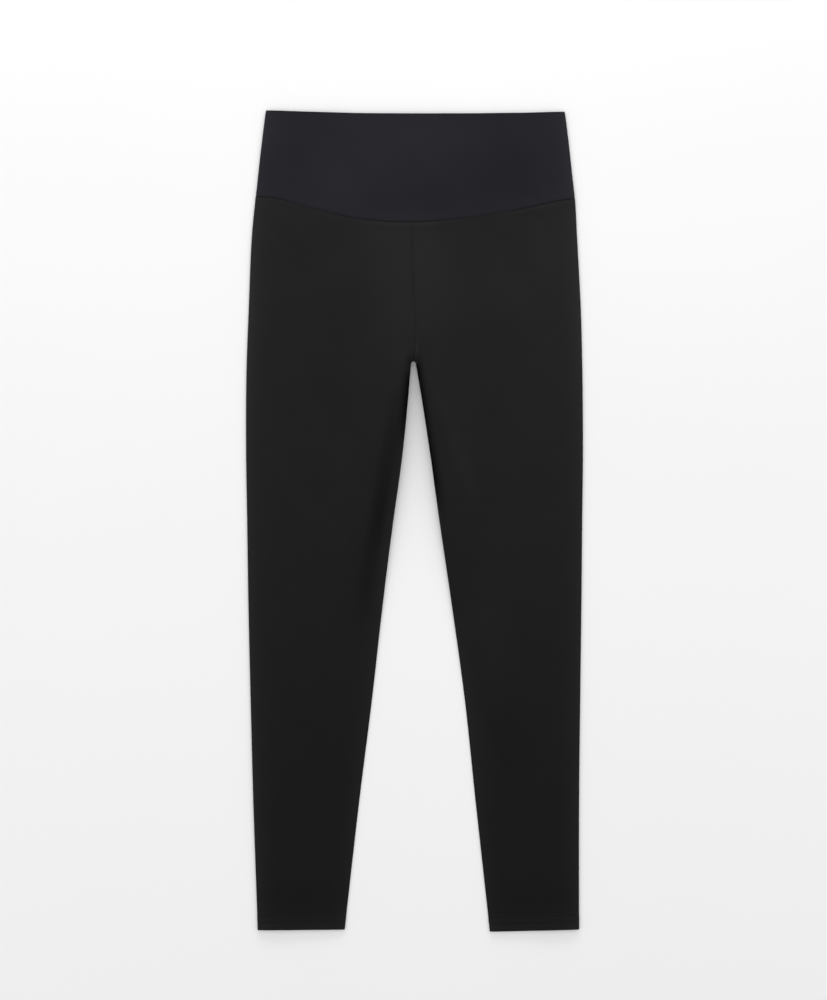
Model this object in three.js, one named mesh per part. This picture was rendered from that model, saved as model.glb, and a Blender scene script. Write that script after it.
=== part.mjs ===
// High-waisted full-length leggings, laid flat on a level surface with the front upwards.
// Millimetres. +Z is up, +Y runs from the hems to the waist, and +X is to the right seen from above.
// The origin lies on the surface, under the middle of the outline.
//
// Each leg is one panel of knit: it starts at the centre front and the inseam, lies over the leg,
// turns round the outside fold and comes back under the leg to the centre back and the inseam.
// The waistband is a front and a back piece of doubled knit, joined at the side folds.

import * as THREE from "three";

// Cloth, in the thickness of its walls
const CLOTH = 1.2; // one ply of the knit
const DOUBLED = 2.0; // two plies pressed together: the waistband and the turned-up hems
const SEAM_GAP = 0.3; // left between two edges that are sewn together
const HEM_DEPTH = 18; // the turned-up end of each leg
const HEM_STEP = 1.5; // the length over which the wall thickens into the hem

// The legs are called by the wearer's side, so the right leg lies at -X
const RIGHT = -1;
const LEFT = 1;

// Outside edge from the waist to the hem, as a distance from the middle plane
const OUTSIDE = {
  [RIGHT]: [
    { y: 451.6, x: 163.6 },
    { y: 430, x: 166.5 },
    { y: 386, x: 171.6 },
    { y: 356, x: 174.7 },
    { y: 315, x: 178.7 },
    { y: 232, x: 182.3 },
    { y: 175, x: 184.5 },
    { y: 133, x: 185.2 },
    { y: 67, x: 185.1 },
    { y: 1, x: 184.0 },
    { y: -87, x: 182.7 },
    { y: -197, x: 180.2 },
    { y: -307, x: 177.3 },
    { y: -450, x: 172.3 },
  ],
  [LEFT]: [
    { y: 451.6, x: 165.3 },
    { y: 430, x: 168.2 },
    { y: 386, x: 173.1 },
    { y: 355, x: 176.4 },
    { y: 315, x: 178.6 },
    { y: 232, x: 182.9 },
    { y: 175, x: 184.4 },
    { y: 133, x: 185.0 },
    { y: 67, x: 185.2 },
    { y: 1, x: 184.4 },
    { y: -87, x: 183.6 },
    { y: -197, x: 182.2 },
    { y: -307, x: 181.0 },
    { y: -452, x: 180.9 },
  ],
};

// The crotch: the round top of the gap between the legs
const CROTCH = { x: -1.0, y: 175, radius: 2.6 };

// Inseam edge from just under the crotch to the hem, as a distance from the middle plane
const INSIDE = {
  [RIGHT]: [
    { y: 172.4, x: 3.6 },
    { y: 160, x: 4.8 },
    { y: 133, x: 7.0 },
    { y: 67, x: 13.7 },
    { y: 1, x: 22.9 },
    { y: -87, x: 34.0 },
    { y: -197, x: 46.6 },
    { y: -307, x: 60.4 },
    { y: -450, x: 76.6 },
  ],
  [LEFT]: [
    { y: 172.4, x: 1.6 },
    { y: 160, x: 3.5 },
    { y: 133, x: 8.0 },
    { y: 67, x: 18.0 },
    { y: 1, x: 27.0 },
    { y: -87, x: 39.9 },
    { y: -197, x: 55.1 },
    { y: -307, x: 66.8 },
    { y: -452, x: 82.7 },
  ],
};

// Height of each hem along y, at the inseam and at the outside fold
const HEM = {
  [RIGHT]: { inside: -449.3, outside: -449.9 },
  [LEFT]: { inside: -451.6, outside: -449.2 },
};

// The top of the waistband, and its seam to the legs, which dips at the front
const WAIST_TOP = [
  { x: -164, y: 451.6 },
  { x: -130, y: 451.2 },
  { x: -64, y: 449.4 },
  { x: 19, y: 448.8 },
  { x: 118, y: 449.6 },
  { x: 166, y: 450.2 },
];
const WAIST_SEAM = {
  front: [
    { x: -175, y: 357.0 },
    { x: -151, y: 354.4 },
    { x: -106, y: 342.0 },
    { x: -60, y: 332.0 },
    { x: -8, y: 328.3 },
    { x: 57, y: 333.2 },
    { x: 115, y: 342.3 },
    { x: 156, y: 351.3 },
    { x: 176.5, y: 354.8 },
  ],
  back: [
    { x: -175, y: 357.0 },
    { x: -90, y: 350.0 },
    { x: 0, y: 347.0 },
    { x: 90, y: 349.5 },
    { x: 176.5, y: 354.8 },
  ],
};

// The seam that joins the legs above the crotch
const CENTRE_SEAM = {
  front: [
    { y: 175, x: -1.0 },
    { y: 192, x: 1.5 },
    { y: 223, x: 0.9 },
    { y: 254, x: -1.2 },
    { y: 280, x: -2.3 },
    { y: 350, x: -2.4 },
  ],
  back: [
    { y: 175, x: -1.0 },
    { y: 350, x: -1.0 },
  ],
};

// How high the garment lies, from its underside to its upper face
const LEG_LOFT = { fold: 4.4, middle: 4.8, thigh: 6.5, hem: 4.8 };
const BAND_LOFT = { fold: 5.2, middle: 5.6 };
const FOLD_SLOPE = 26; // the upper face comes down to a fold over this width
const HEM_SLOPE = 60; // and changes to the hem's height over this length
const SEAM_DIP = { depth: 0.5, width: 3.5 }; // the upper face sinks into a seam

// The seat is cut fuller than the front, so both layers stand up from the surface in a low ridge
// along the inseams and round the crotch, wider above the crotch than beside the inseams
const RISE = { height: 8.0, atEdge: 7.2, crest: 12, widthBeside: 80, widthAbove: 150, spreadsFrom: 80, spreadsTo: 260 };
const RISE_RUN = [
  { y: 230, share: 0.72 },
  { y: 185, share: 0.8 },
  { y: 140, share: 0.99 },
  { y: 105, share: 1.0 },
  { y: 60, share: 0.82 },
  { y: 0, share: 0.5 },
  { y: -45, share: 0.26 },
  { y: -110, share: 0 },
  { y: -160, share: 0 },
];

// Soft troughs down the inner thighs from the crotch
const TROUGHS = [
  { from: { x: -15, y: 95 }, to: { x: -62, y: -110 }, depth: 0.8, width: 13 },
  { from: { x: 24, y: 60 }, to: { x: 58, y: -80 }, depth: 0.5, width: 12 },
];

// Facets
const FOLD_STEPS = 3; // in each quarter of a fold
const PANEL_COLUMNS = 7; // across the flat of a leg
const BAND_COLUMNS = 18; // across the flat of the waistband
const BAND_ROWS = [0, 0.22, 0.48, 0.74, 0.96, 1]; // from the top of the waistband to its seam
const BODY_ROWS = [1, 0.977, 0.8, 0.6, 0.42, 0.28, 0.17, 0.09, 0.045]; // from the waist seam to the crotch
const LEG_ROWS = [7, 14, 25, 40, 60, 85, 115, 150, 190, 235, 285, 335, 385, 435, 485, 535, 580];
const INSEAM_STEP = 6; // between the points of the inseam that distances are measured to

const lerp = THREE.MathUtils.lerp;
const smooth = (value, from, to) => THREE.MathUtils.smoothstep(value, from, to);
const bump = (distance, width) => Math.max(0, 1 - (distance / width) ** 2) ** 2;

// A smooth curve through the rows of a table, as a function from one column to another
function curveThrough(rows, key, value) {
  const sorted = [...rows].sort((a, b) => a[key] - b[key]);
  const last = sorted.length - 1;
  const slope = (i) => (sorted[i + 1][value] - sorted[i][value]) / (sorted[i + 1][key] - sorted[i][key]);
  const tangent = (i) => {
    if (i === 0) return slope(0);
    if (i === last) return slope(last - 1);
    return (slope(i - 1) + slope(i)) / 2;
  };
  return (at) => {
    let i = 0;
    while (i < last - 1 && at > sorted[i + 1][key]) i += 1;
    const span = sorted[i + 1][key] - sorted[i][key];
    const t = THREE.MathUtils.clamp((at - sorted[i][key]) / span, 0, 1);
    const u = 1 - t;
    const start = sorted[i][value] * (1 + 2 * t) * u * u + tangent(i) * span * t * u * u;
    const end = sorted[i + 1][value] * (1 + 2 * u) * t * t - tangent(i + 1) * span * u * t * t;
    return start + end;
  };
}

const waistTop = curveThrough(WAIST_TOP, "x", "y");
const waistSeam = {
  front: curveThrough(WAIST_SEAM.front, "x", "y"),
  back: curveThrough(WAIST_SEAM.back, "x", "y"),
};
const centreSeam = {
  front: curveThrough(CENTRE_SEAM.front, "y", "x"),
  back: curveThrough(CENTRE_SEAM.back, "y", "x"),
};
const outsideWidth = {
  [RIGHT]: curveThrough(OUTSIDE[RIGHT], "y", "x"),
  [LEFT]: curveThrough(OUTSIDE[LEFT], "y", "x"),
};
const insideWidth = {
  [RIGHT]: curveThrough(INSIDE[RIGHT], "y", "x"),
  [LEFT]: curveThrough(INSIDE[LEFT], "y", "x"),
};

const riseRun = curveThrough(RISE_RUN, "y", "share");

const outsideX = (side, y) => side * outsideWidth[side](y);

// The inner edge of a leg: the seam up the middle of the body, the arc at the crotch, then the inseam
function innerX(side, y, layer) {
  const below = CROTCH.y - y;
  if (below <= 0) return centreSeam[layer](y) + (side * SEAM_GAP) / 2;
  if (below < CROTCH.radius) {
    const half = Math.sqrt(CROTCH.radius ** 2 - (CROTCH.radius - below) ** 2);
    return CROTCH.x + side * Math.max(half, SEAM_GAP / 2);
  }
  return side * insideWidth[side](y);
}

function hemY(side, x) {
  const inner = INSIDE[side].at(-1).x;
  const outer = OUTSIDE[side].at(-1).x;
  const share = THREE.MathUtils.clamp((Math.abs(x) - inner) / (outer - inner), 0, 1);
  return lerp(HEM[side].inside, HEM[side].outside, share);
}

// Distances from an edge that facet a quarter round evenly
function quarterRound(radius) {
  const angles = Array.from({ length: FOLD_STEPS + 1 }, (_, k) => (Math.PI / 2) * (k / FOLD_STEPS));
  return angles.map((angle) => radius * (1 - Math.cos(angle)));
}

// The inseam of a leg as short straight pieces, from the crotch to a little past the hem
function inseamLine(side) {
  const points = quarterRound(CROTCH.radius).map((below) => CROTCH.y - below);
  while (points.at(-1) > HEM[side].inside) points.push(points.at(-1) - INSEAM_STEP);
  return points.map((y) => ({ x: innerX(side, y, "front"), y }));
}
const inseam = { [RIGHT]: inseamLine(RIGHT), [LEFT]: inseamLine(LEFT) };

// The nearest place to a point on a straight line, as its distance and its share of the way along
function nearest(point, a, b) {
  const run = { x: b.x - a.x, y: b.y - a.y };
  const along = (point.x - a.x) * run.x + (point.y - a.y) * run.y;
  const share = THREE.MathUtils.clamp(along / (run.x ** 2 + run.y ** 2), 0, 1);
  return { distance: Math.hypot(point.x - a.x - share * run.x, point.y - a.y - share * run.y), share };
}

function distanceToInseam(side, point) {
  const line = inseam[side];
  return Math.min(...line.slice(1).map((end, i) => nearest(point, line[i], end).distance));
}

// How far both layers stand up from the surface, as a share of the ridge's height
function riseShare(toInseam, y) {
  const climb = lerp(RISE.atEdge / RISE.height, 1, Math.sin((Math.PI / 2) * Math.min(1, toInseam / RISE.crest)));
  const width = lerp(RISE.widthBeside, RISE.widthAbove, smooth(y, RISE.spreadsFrom, RISE.spreadsTo));
  const fall = bump(Math.max(0, toInseam - RISE.crest), width - RISE.crest);
  return climb * fall * riseRun(y);
}

// The soft troughs in the upper face
function troughDepth(x, y) {
  const depths = TROUGHS.map((trough) => {
    const near = nearest({ x, y }, trough.from, trough.to);
    return trough.depth * bump(near.distance, trough.width) * Math.sin(Math.PI * near.share);
  });
  return depths.reduce((sum, depth) => sum + depth, 0);
}

const seamDip = (distance) => SEAM_DIP.depth * Math.max(0, 1 - distance / SEAM_DIP.width) ** 2;

// Heights of a leg's upper face and underside, away from its rounded edges
function legFaces(side, x, y, layer, toInseam) {
  const toFold = Math.abs(outsideX(side, y) - x);
  const hem = hemY(side, x);
  const share = riseShare(toInseam, y);
  const flat = lerp(LEG_LOFT.fold, LEG_LOFT.middle, smooth(toFold, 0, FOLD_SLOPE));
  const loft = lerp(LEG_LOFT.hem, flat, smooth(y, hem, hem + HEM_SLOPE)) + (LEG_LOFT.thigh - flat) * share;
  const under = RISE.height * share;
  const toCentre = y > CROTCH.y ? Math.abs(x - centreSeam[layer](y)) : Infinity;
  const toSeam = Math.min(toCentre, Math.abs(waistSeam[layer](x) - y));
  return { top: under + loft - troughDepth(x, y) - seamDip(toSeam), under };
}

// The height of a quarter round at a distance from its edge, as a share of its radius
function roundOff(distance, radius) {
  const inside = Math.min(1, distance / radius);
  return Math.sqrt(inside * (2 - inside));
}

// One point on the outer face of a leg, on the layer that is named
function legPoint(side, x, y, layer, onInseam) {
  const toInseam = onInseam ? 0 : distanceToInseam(side, { x, y });
  const { top, under } = legFaces(side, x, y, layer, toInseam);
  const half = (top - under) / 2;
  const toFold = Math.abs(outsideX(side, y) - x);
  const swell = half * roundOff(toInseam, half) * roundOff(toFold, half);
  const apart = toFold > half ? Math.max(swell, SEAM_GAP / 2) : swell;
  return new THREE.Vector3(x, y, under + half + (layer === "front" ? apart : -apart));
}

// Where the columns of a leg lie, as shares of the way from its inner edge to its outside fold
function legColumns(width) {
  const radius = LEG_LOFT.middle / 2;
  const near = [...quarterRound(radius), radius * 2.2, RISE.crest];
  const far = quarterRound(LEG_LOFT.fold / 2).map((inside) => width - inside).reverse();
  const flat = Array.from({ length: PANEL_COLUMNS - 1 }, (_, k) => lerp(RISE.crest, far[0], (k + 1) / PANEL_COLUMNS));
  return [...near, ...flat, ...far].map((x) => x / width);
}

// The rows of a leg, as shares of the way from the crotch up to the waist seam or down to the hem
function legRows(side) {
  const bodyLength = waistSeam.front(CROTCH.x) - CROTCH.y;
  const legLength = CROTCH.y - HEM[side].inside;
  const lip = quarterRound(LEG_LOFT.middle / 2).reverse();
  const arc = quarterRound(CROTCH.radius).slice(1);
  const hem = [legLength - HEM_DEPTH - HEM_STEP, legLength - HEM_DEPTH, legLength];
  return [
    ...BODY_ROWS.map((share) => ({ part: "body", share })),
    ...lip.map((above) => ({ part: "body", share: above / bodyLength })),
    ...[...arc, ...LEG_ROWS, ...hem].map((below) => ({ part: "leg", share: below / legLength })),
  ];
}

function rowY(side, row, x, layer) {
  if (row.part === "leg") return lerp(CROTCH.y, hemY(side, x), row.share);
  return lerp(CROTCH.y, waistSeam[layer](x) - SEAM_GAP / 2, row.share);
}

// One row of points round a leg, from the front inseam over the leg and back under it
function legRow(side, row) {
  const layerRow = (layer) => {
    const innerY = rowY(side, row, side * insideWidth[side](CROTCH.y), layer);
    const edge = { x: innerX(side, innerY, layer), y: innerY };
    const foldY = rowY(side, row, outsideX(side, innerY), layer);
    const columns = legColumns(Math.abs(outsideX(side, foldY) - edge.x));
    return columns.map((share, i) => {
      if (i === 0) return legPoint(side, edge.x, edge.y, layer, edge.y <= CROTCH.y);
      const x = lerp(edge.x, outsideX(side, foldY), share);
      const y = i === columns.length - 1 ? foldY : lerp(edge.y, rowY(side, row, x, layer), smooth(i, 0, 4));
      return legPoint(side, i === columns.length - 1 ? outsideX(side, foldY) : x, y, layer, false);
    });
  };
  return [...layerRow("front"), ...layerRow("back").reverse().slice(1)];
}

// Turns a grid of points on the outer face of a cloth piece into a closed wall. "wallAt" gives the
// thickness at a point. The inner face is the outer one moved in square to the cloth, and along a
// sewn or cut edge it moves inside the plane of that edge, square to the axis that "edgeAxes" names.
function clothWall(grid, wallAt, edgeAxes, flip) {
  const rows = grid.length;
  const columns = grid[0].length;
  const inner = grid.map((row, r) =>
    row.map((point, c) => {
      const down = grid[Math.min(r + 1, rows - 1)][c].clone().sub(grid[Math.max(r - 1, 0)][c]);
      const across = row[Math.min(c + 1, columns - 1)].clone().sub(row[Math.max(c - 1, 0)]);
      const inwards = across.cross(down).multiplyScalar(flip ? -1 : 1);
      for (const axis of edgeAxes(r, c, point)) inwards[axis] = 0;
      return point.clone().addScaledVector(inwards.normalize(), wallAt(point));
    }),
  );
  const at = (face, r, c) => (face * rows + r) * columns + c;
  const indices = [];
  const quad = (a, b, c, d) => {
    if (flip) indices.push(a, c, b, a, d, c);
    else indices.push(a, b, c, a, c, d);
  };
  for (let r = 0; r + 1 < rows; r += 1) {
    for (let c = 0; c + 1 < columns; c += 1) {
      quad(at(0, r, c), at(0, r + 1, c), at(0, r + 1, c + 1), at(0, r, c + 1));
      quad(at(1, r, c), at(1, r, c + 1), at(1, r + 1, c + 1), at(1, r + 1, c));
    }
    const end = columns - 1;
    quad(at(0, r, 0), at(1, r, 0), at(1, r + 1, 0), at(0, r + 1, 0));
    quad(at(0, r, end), at(0, r + 1, end), at(1, r + 1, end), at(1, r, end));
  }
  for (let c = 0; c + 1 < columns; c += 1) {
    const end = rows - 1;
    quad(at(0, 0, c), at(0, 0, c + 1), at(1, 0, c + 1), at(1, 0, c));
    quad(at(0, end, c), at(1, end, c), at(1, end, c + 1), at(0, end, c + 1));
  }
  const vertices = [grid, inner].flatMap((face) => face.flatMap((row) => row.flatMap((p) => p.toArray())));
  const geometry = new THREE.BufferGeometry();
  geometry.setAttribute("position", new THREE.Float32BufferAttribute(vertices, 3));
  geometry.setIndex(indices);
  geometry.computeVertexNormals();
  return geometry;
}

// A leg panel: single cloth, doubled inwards over the hem
function legPanel(side) {
  const grid = legRows(side).map((row) => legRow(side, row));
  const wallAt = (point) => {
    const top = hemY(side, point.x) + HEM_DEPTH;
    return lerp(DOUBLED, CLOTH, smooth(point.y, top, top + HEM_STEP));
  };
  const edgeAxes = (r, c, point) => {
    const axes = r === 0 || r === grid.length - 1 ? ["y"] : [];
    if (c > 0 && c < grid[0].length - 1) return axes;
    if (point.y >= CROTCH.y) axes.push("x");
    if (point.y <= CROTCH.y) axes.push("z");
    return axes;
  };
  return clothWall(grid, wallAt, edgeAxes, side === RIGHT);
}

// One point on the outer face of a waistband piece. Columns below 0 and past BAND_COLUMNS turn
// round the side folds, and stop just short of the middle of the fold, where the pieces are joined.
function bandPoint(layer, share, column) {
  const radius = BAND_LOFT.fold / 2;
  const yAt = (x) => lerp(waistTop(x), waistSeam[layer](x) + SEAM_GAP / 2, share);
  const foldX = (side) => outsideX(side, yAt(side * OUTSIDE[side][0].x));
  const beyond = Math.max(-column, column - BAND_COLUMNS, 0) / FOLD_STEPS;
  const angle = lerp(Math.PI / 2, Math.asin(SEAM_GAP / 2 / radius), beyond);
  const flatShare = THREE.MathUtils.clamp(column / BAND_COLUMNS, 0, 1);
  const turned = radius * Math.cos(angle) * (column < 0 ? -1 : 1);
  const x = lerp(foldX(RIGHT) + radius, foldX(LEFT) - radius, flatShare) + turned;
  const toFold = Math.min(x - foldX(RIGHT), foldX(LEFT) - x);
  const loft = lerp(BAND_LOFT.fold, BAND_LOFT.middle, smooth(toFold, radius, FOLD_SLOPE));
  const top = loft - seamDip(Math.abs(waistSeam[layer](x) - yAt(x)));
  const swell = layer === "front" ? top - radius : -radius;
  return new THREE.Vector3(x, yAt(x), radius + swell * Math.sin(angle));
}

// One half of the waistband, from side fold to side fold, with its lower edge on the waist seam
function bandPiece(layer) {
  const columns = Array.from({ length: BAND_COLUMNS + 2 * FOLD_STEPS + 1 }, (_, c) => c - FOLD_STEPS);
  const grid = BAND_ROWS.map((share) => columns.map((column) => bandPoint(layer, share, column)));
  const edgeAxes = (r, c) => {
    const axes = r === 0 || r === grid.length - 1 ? ["y"] : [];
    return c === 0 || c === columns.length - 1 ? [...axes, "z"] : axes;
  };
  return clothWall(grid, () => DOUBLED, edgeAxes, layer === "back");
}

function piece(name, geometry, color) {
  const cloth = new THREE.MeshStandardMaterial({ color, roughness: 0.85, metalness: 0 });
  const mesh = new THREE.Mesh(geometry, cloth);
  mesh.name = name;
  return mesh;
}

const LEG_BLACK = 0x232325;
const BAND_BLACK = 0x28272b;

const leggings = new THREE.Group();
leggings.add(
  piece("waistband_front", bandPiece("front"), BAND_BLACK),
  piece("waistband_back", bandPiece("back"), BAND_BLACK),
  piece("leg_right", legPanel(RIGHT), LEG_BLACK),
  piece("leg_left", legPanel(LEFT), LEG_BLACK),
);

export default leggings;
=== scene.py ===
"""High-waisted black knit leggings, laid flat with the front up and seen from straight above.

Every size is in millimetres and is turned into metres where a mesh is made. +Y runs from the hems
to the waist, +X is to the right seen from above, and the legs are called by the wearer's side.
"""

import math

import bpy
import numpy as np
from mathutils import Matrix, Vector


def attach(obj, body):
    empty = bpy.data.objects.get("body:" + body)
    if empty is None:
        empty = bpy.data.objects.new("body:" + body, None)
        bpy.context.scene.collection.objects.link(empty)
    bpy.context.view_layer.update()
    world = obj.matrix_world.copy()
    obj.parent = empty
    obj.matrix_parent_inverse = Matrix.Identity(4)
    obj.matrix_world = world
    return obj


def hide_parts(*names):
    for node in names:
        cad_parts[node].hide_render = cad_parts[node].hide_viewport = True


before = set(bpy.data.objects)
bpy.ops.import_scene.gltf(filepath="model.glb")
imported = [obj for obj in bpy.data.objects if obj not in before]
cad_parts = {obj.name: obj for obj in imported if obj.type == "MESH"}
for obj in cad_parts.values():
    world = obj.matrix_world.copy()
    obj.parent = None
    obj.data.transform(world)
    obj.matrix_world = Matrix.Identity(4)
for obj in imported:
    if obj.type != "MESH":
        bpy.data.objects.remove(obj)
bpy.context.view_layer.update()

MM = 0.001
RIGHT = -1
LEFT = 1

# The outline of the garment as it lies: distances from the middle plane, from the waist down
OUTSIDE = {
    RIGHT: {
        "y": [451.6, 430, 386, 356, 315, 232, 175, 133, 67, 1, -87, -197, -307, -450],
        "x": [
            163.6, 166.5, 171.6, 174.7, 178.7, 182.3, 184.5,
            185.2, 185.1, 184.0, 182.7, 180.2, 177.3, 172.3,
        ],
    },
    LEFT: {
        "y": [451.6, 430, 386, 355, 315, 232, 175, 133, 67, 1, -87, -197, -307, -452],
        "x": [
            165.3, 168.2, 173.1, 176.4, 178.6, 182.9, 184.4,
            185.0, 185.2, 184.4, 183.6, 182.2, 181.0, 180.9,
        ],
    },
}
CROTCH_X = -1.0
CROTCH_Y = 175.0
CROTCH_RADIUS = 2.6
INSIDE = {
    RIGHT: {
        "y": [172.4, 160, 133, 67, 1, -87, -197, -307, -450],
        "x": [3.6, 4.8, 7.0, 13.7, 22.9, 34.0, 46.6, 60.4, 76.6],
    },
    LEFT: {
        "y": [172.4, 160, 133, 67, 1, -87, -197, -307, -452],
        "x": [1.6, 3.5, 8.0, 18.0, 27.0, 39.9, 55.1, 66.8, 82.7],
    },
}
HEM_AT_INSEAM = {RIGHT: -449.3, LEFT: -451.6}
HEM_AT_FOLD = {RIGHT: -449.9, LEFT: -449.2}
BELOW_HEMS = -470

WAIST_TOP = {"x": [-164, -130, -64, 19, 118, 166], "y": [451.5, 450.3, 448.4, 447.9, 448.7, 450.0]}
MID_BAND_Y = 400.0  # about half way down the waistband, where its width is looked up first
WAIST_SEAM = {
    "front": {
        "x": [-175, -151, -106, -60, -8, 57, 115, 156, 176.5],
        "y": [357.0, 354.4, 342.0, 332.0, 328.3, 333.2, 342.3, 351.3, 354.8],
    },
    "back": {"x": [-175, -90, 0, 90, 176.5], "y": [357.0, 350.0, 347.0, 349.5, 354.8]},
}
CENTRE_SEAM = {
    "front": {"y": [175, 192, 223, 254, 280, 350], "x": [-1.0, 1.5, 0.9, -1.2, -2.3, -2.4]},
    "back": {"y": [175, 350], "x": [-1.0, -1.0]},
}

# Cloth
ONE_PLY = 0.8
TWO_PLIES = 1.4
RIM = 0.04  # the share of its thickness that the cloth keeps at the very rim of a hem or the waist
OFF_FLOOR = 0.05  # the inner face of the cloth is never lower than this
SEAM_GAP = 0.04  # between two sewn edges, where they turn in
HEM_DEPTH = 17.5
HEM_ROWS = (8.0, 16.0)  # the two rows of hem stitches, measured up from the hem

# How high it lies
LEG_LOFT = 2.9
BAND_LOFT = 3.5
CLOSEST = 2.1  # from the outside of one layer to the outside of the other, where they touch
SOFT_TOUCH = 0.3  # how softly they come to touch
SOFT_EDGE = 14.0  # width of the rounding of the upper layer at a fold
INSEAM_EDGE = 13.0  # the same at the inseam
FLOOR_EDGE = 3.0  # of the layer that lies on the floor, and of both at the centre seam
EDGE_FIRMS = (CROTCH_Y - 15, CROTCH_Y + 25)  # from the one to the other
LAYER_TURN = (-0.6, 0.6)  # how far the cloth faces up where it turns from one layer to the other
# The middle of a leg and of the waistband stands higher than the edges: how much higher, how far
# from a fold and from the inseam that takes, and what is left of it at the hem
CROWN = 1.9
BAND_CROWN = 1.3
CROWN_FROM_FOLD = 60
CROWN_FROM_INSEAM = (0, 45)
CROWN_AT_HEM = 0.3
CROWN_ABOVE_HEM = 90
# Broad low waves of cloth that doesn't lie quite smooth: two sets that cross each other, and how
# far from a fold and from the inseam they grow
SLACK = {"height": 0.4, "slants": (0.6, 0.35), "lengths": (9, 13)}
SLACK_FROM_FOLD = (6, 40)
SLACK_FROM_INSEAM = (4, 34)
# The inner thighs lie in a ridge: how far it lifts each layer, its share at the inseam, how wide it
# is beside the inseam and above the crotch, and how high it is from the hips down to the knees
RIDGE = {"up": 15.5, "under": 6.0, "at_edge": 0.4, "crest": 13.0, "beside": 85.0, "above": 165.0}
RIDGE_RUN = {
    "y": [600, 230, 185, 140, 105, 60, 0, -45, -110, -600],
    "share": [0.72, 0.72, 0.8, 0.99, 1.0, 0.82, 0.5, 0.26, 0, 0],
}
RIDGE_WHOLE = 26  # this far above the crotch the ridge no longer dips at the centre seam
RIDGE_WIDENS = (80, 260)

# Creases that lie in the upper layer: the points they run through, height (troughs are negative)
# and half width. The long ones run down the inner thighs, the others are drag lines and dimples.
FRONT_CREASES = [
    {"through": [(-13, 150), (-36, 20), (-58, -120)], "height": -6.0, "width": 13},
    {"through": [(22, 150), (45, 80), (72, 0)], "height": 2.2, "width": 14},
    {"through": [(64, -140), (84, -222), (122, -310)], "height": -1.3, "width": 15},
    {"through": [(-70, -250), (-84, -330), (-92, -410)], "height": -0.7, "width": 13},
    {"through": [(8, 322), (11, 270), (8, 215)], "height": 0.7, "width": 34},
    {"through": [(-58, 262), (-80, 190), (-92, 120)], "height": -0.8, "width": 42},
    {"through": [(78, 250), (92, 180), (98, 105)], "height": -0.7, "width": 40},
    {"through": [(-176, 148), (-150, 158), (-118, 177)], "height": 0.42, "width": 15},
    {"through": [(177, 132), (152, 146), (124, 168)], "height": 0.36, "width": 14},
    {"through": [(-152, 52), (-128, 18), (-98, -6)], "height": 0.4, "width": 19},
    {"through": [(166, 24), (142, -20), (112, -48)], "height": 0.34, "width": 18},
    {"through": [(-158, -118), (-134, -140), (-104, -148)], "height": 0.36, "width": 15},
    {"through": [(104, -128), (130, -150), (164, -158)], "height": -0.34, "width": 17},
    {"through": [(-150, -262), (-128, -280), (-98, -286)], "height": -0.3, "width": 14},
    {"through": [(112, -296), (138, -288), (164, -268)], "height": 0.3, "width": 14},
    {"through": [(-146, -388), (-122, -400), (-96, -398)], "height": 0.26, "width": 12},
    {"through": [(104, -402), (128, -392), (156, -396)], "height": -0.24, "width": 12},
    {"through": [(10, 446), (24, 438), (38, 428)], "height": 0.42, "width": 8},
    {"through": [(20, 449), (36, 441), (52, 434)], "height": -0.3, "width": 9},
    {"through": [(-96, 446), (-92, 400), (-98, 356)], "height": 0.35, "width": 40},
    {"through": [(96, 446), (90, 400), (98, 350)], "height": -0.4, "width": 38},
    {"through": [(-62, 404), (6, 398), (58, 406)], "height": 1.0, "width": 44},
    {"through": [(-158, 430), (-150, 420), (-146, 405)], "height": 0.4, "width": 11},
    {"through": [(118, 354), (130, 345), (142, 338)], "height": 0.36, "width": 6},
    {"through": [(124, 340), (134, 332), (148, 326)], "height": -0.3, "width": 7},
    {"through": [(-148, 350), (-138, 338), (-130, 322)], "height": -0.32, "width": 8},
]
# The same in the layer below, as hollows that leave the floor, and how far from its edges they grow
BACK_CREASES = [
    {"through": [(-60, 130), (-92, 30), (-104, -90)], "height": 0.7, "width": 22},
    {"through": [(66, 110), (96, 10), (112, -110)], "height": 0.6, "width": 24},
    {"through": [(-150, 236), (-110, 214), (-62, 206)], "height": 0.5, "width": 16},
    {"through": [(150, 228), (116, 206), (74, 196)], "height": 0.5, "width": 15},
    {"through": [(-132, -180), (-108, -216), (-98, -262)], "height": 0.4, "width": 14},
    {"through": [(126, -210), (110, -250), (114, -300)], "height": 0.4, "width": 15},
    {"through": [(-60, 430), (-40, 400), (-46, 366)], "height": 0.35, "width": 18},
    {"through": [(64, 436), (78, 402), (70, 368)], "height": 0.35, "width": 16},
]
BACK_CREASES_FROM_EDGE = (2, 20)

# Sewn edges: how far the cloth turns in at a seam, over what width, and the puckers beside it
LIP_DEPTH = 0.8
LIP_WIDTH = 1.4
CENTRE_LIP = 0.6  # the most that the centre seam turns in, as a share of the inseams
CENTRE_LIP_RUN = (CROTCH_Y - 4, CROTCH_Y + 12)
SIDE_LIP = 0.8  # the same for the side seams of the waistband
UNEVEN = {"least": 0.25, "tightness": 0.17, "from": -0.5, "to": 0.6}
PUCKER = 0.075
PUCKER_REACH = 6.0
PUCKER_START = 2.5
# How hard the waist seam is drawn in along its length
WAIST_PULL = {
    "x": [-175, -153, -137, -115, -85, -68, -49, -16, 17, 39, 61, 83, 105, 128, 149, 176],
    "share": [0.3, 0.5, 0.1, 0.15, 0.35, 0.35, 0.8, 1.0, 1.15, 0.4, 0.2, 0.1, 0.5, 0.6, 0.7, 0.5],
}
# The turned edges inside the waist seam show as a low ridge on either side of it
LEG_SEAM_RIDGE = {"from_seam": 3.6, "half": 3.0, "height": 0.3}
BAND_SEAM_RIDGE = {"from_seam": 3.2, "half": 6.0, "height": 0.2}
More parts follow.
